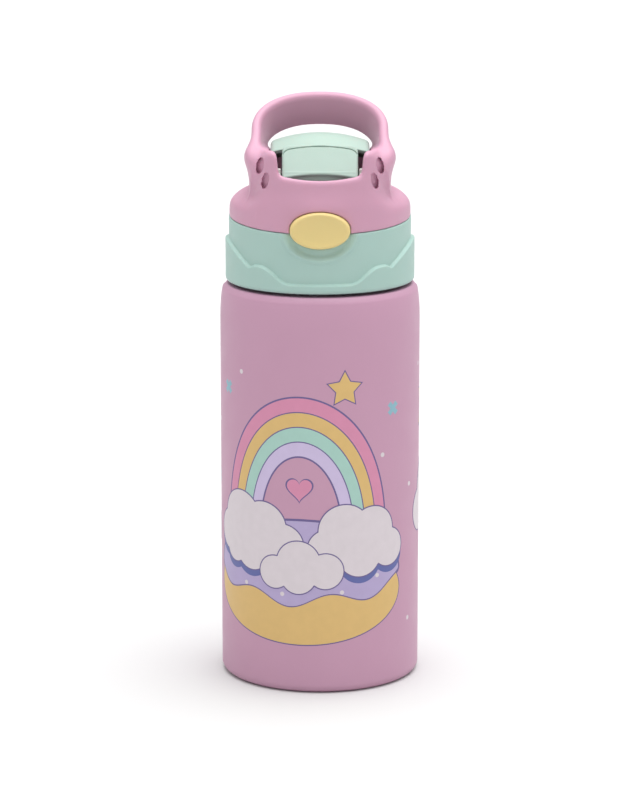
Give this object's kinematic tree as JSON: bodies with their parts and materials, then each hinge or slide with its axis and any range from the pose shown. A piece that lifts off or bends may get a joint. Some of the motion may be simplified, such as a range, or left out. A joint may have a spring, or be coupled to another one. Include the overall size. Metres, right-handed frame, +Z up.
{
  "type": "water bottle",
  "caption": "Insulated children's drinking bottle: steel body, screw lid with carrying loop, roll-back spout cover, push-button release, upright spout and straw.",
  "frame": {"origin": "centre of the base, on the plane that the bottle stands on", "axes": "+Z up along the bottle's axis, -Y towards the push button (front), +X to the right seen from the front"},
  "size_m": [0.073, 0.073, 0.2147],
  "materials": {
    "pink_coat": "satin powder coat with a printed picture",
    "pink_plastic": "satin moulded plastic",
    "mint_plastic": "satin moulded plastic",
    "pale_mint_plastic": "satin moulded plastic",
    "yellow_plastic": "soft gloss moulded plastic",
    "grey_plastic": "satin moulded plastic",
    "steel": "brushed stainless steel",
    "spring_steel": "drawn spring wire",
    "silicone": "matt translucent silicone",
    "clear_plastic": "frosted food-grade plastic"
  },
  "bodies": {
    "bottle": {"outer_shell": "pink_coat", "inner_liner": "steel", "vacuum_base_disc": "steel", "base_plate": "steel", "getter_pill": "steel"},
    "gasket": {"lid_gasket": "silicone"},
    "lid": {"lid_core": "mint_plastic", "collar": "mint_plastic", "spout_housing": "grey_plastic", "vent_valve": "silicone", "spout": "silicone", "straw_connector": "clear_plastic", "straw": "clear_plastic", "top_cover": "pink_plastic", "pivot_pin_left": "steel", "pivot_pin_right": "steel"},
    "flip": {"flip_cover": "pale_mint_plastic", "cover_seal_pad": "silicone", "torsion_spring": "spring_steel"},
    "button": {"push_button": "yellow_plastic", "latch_slide": "grey_plastic", "button_spring": "spring_steel"}
  },
  "joints": [
    {"name": "lid_rise", "type": "slide", "parent": "bottle", "child": "gasket", "axis": [0, 0, 1], "range_m": [0, 0.005]},
    {"name": "lid_turn", "type": "hinge", "parent": "gasket", "child": "lid", "pos_m": [0, 0, 0.162], "axis": [0, 0, 1], "range_deg": [0, 450]},
    {"name": "cover_flip", "type": "hinge", "parent": "lid", "child": "flip", "pos_m": [0, -0.003, 0.1845], "axis": [-1, 0, 0], "range_deg": [0, 95], "deforming": ["torsion_spring"]},
    {"name": "button_press", "type": "slide", "parent": "lid", "child": "button", "axis": [0, 1, 0], "range_m": [0, 0.0025], "stiffness_N_per_m": 600, "springref_m": -0.002, "deforming": ["button_spring"]}
  ],
  "couplings": [
    {"joint": "lid_rise", "follows": "lid_turn", "m_per_rad": 0.00063662}
  ]
}
